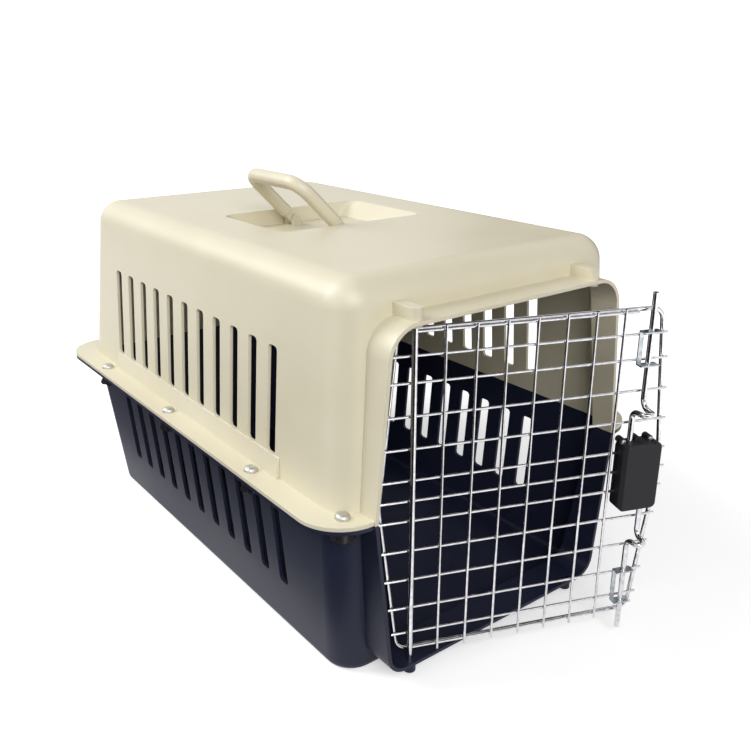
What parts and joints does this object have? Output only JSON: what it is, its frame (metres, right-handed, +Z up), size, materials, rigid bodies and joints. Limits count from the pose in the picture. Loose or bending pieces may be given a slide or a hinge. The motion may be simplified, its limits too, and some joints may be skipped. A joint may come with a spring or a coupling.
{
  "type": "pet carrier",
  "caption": "Two-part moulded plastic pet carrier with a bolted waist flange, side vents, a folding top handle and a hinged wire door locked by sprung latch rods.",
  "frame": {"origin": "centre of the flat underside of the base", "axes": "+Z up, +Y from the doorway to the rear, so the doorway faces -Y, and +X to the right of someone facing the carrier's rear"},
  "size_m": [0.378, 0.6663, 0.4034],
  "materials": {
    "cream_shell": "satin moulded",
    "navy_tub": "satin moulded",
    "chrome_wire": "bright plated",
    "zinc_strip": "zinc plated",
    "zinc_fastener": "zinc plated",
    "spring_steel": "bare drawn wire",
    "black_housing": "fine spark texture",
    "black_nut": "moulded"
  },
  "bodies": {
    "shell": {"upper_shell": "cream_shell", "lower_shell": "navy_tub", "flange_bolts": "zinc_fastener", "flange_nuts": "black_nut"},
    "handle": {"carry_handle": "cream_shell"},
    "door": {"cross_wire_01": "chrome_wire", "cross_wire_02": "chrome_wire", "cross_wire_03": "chrome_wire", "cross_wire_04": "chrome_wire", "cross_wire_05": "chrome_wire", "cross_wire_06": "chrome_wire", "cross_wire_07": "chrome_wire", "cross_wire_08": "chrome_wire", "cross_wire_09": "chrome_wire", "cross_wire_10": "chrome_wire", "cross_wire_11": "chrome_wire", "door_frame": "chrome_wire", "double_wire_bottom": "chrome_wire", "double_wire_top": "chrome_wire", "hinge_rod": "chrome_wire", "housing_screws": "zinc_fastener", "latch_back_plate": "black_housing", "latch_housing": "black_housing", "lower_latch_spring": "spring_steel", "lower_rod_guide": "zinc_strip", "upper_latch_spring": "spring_steel", "upper_rod_guide": "zinc_strip", "upright_wire_1": "chrome_wire", "upright_wire_2": "chrome_wire", "upright_wire_3": "chrome_wire", "upright_wire_4": "chrome_wire", "upright_wire_5": "chrome_wire", "upright_wire_6": "chrome_wire", "upright_wire_7": "chrome_wire"},
    "upper_latch": {"upper_latch_rod": "chrome_wire", "upper_spring_clip": "zinc_fastener"},
    "lower_latch": {"lower_latch_rod": "chrome_wire", "lower_spring_clip": "zinc_fastener"}
  },
  "joints": [
    {"name": "handle_fold", "type": "hinge", "parent": "shell", "child": "handle", "pos_m": [-0.0065, -0.003, 0.3452], "axis": [0, 1, 0], "range_deg": [-31, 128]},
    {"name": "door_swing", "type": "hinge", "parent": "shell", "child": "door", "pos_m": [-0.1026, -0.2762, 0.17], "axis": [0, 0, -1], "range_deg": [-21.4, 133.6]},
    {"name": "upper_latch_slide", "type": "slide", "parent": "door", "child": "upper_latch", "axis": [0, 0, -1], "range_m": [0, 0.012], "stiffness_N_per_m": 400, "springref_m": -0.02, "deforming": ["upper_latch_spring"]},
    {"name": "lower_latch_slide", "type": "slide", "parent": "door", "child": "lower_latch", "axis": [0, 0, 1], "range_m": [0, 0.012], "stiffness_N_per_m": 400, "springref_m": -0.02, "deforming": ["lower_latch_spring"]}
  ]
}
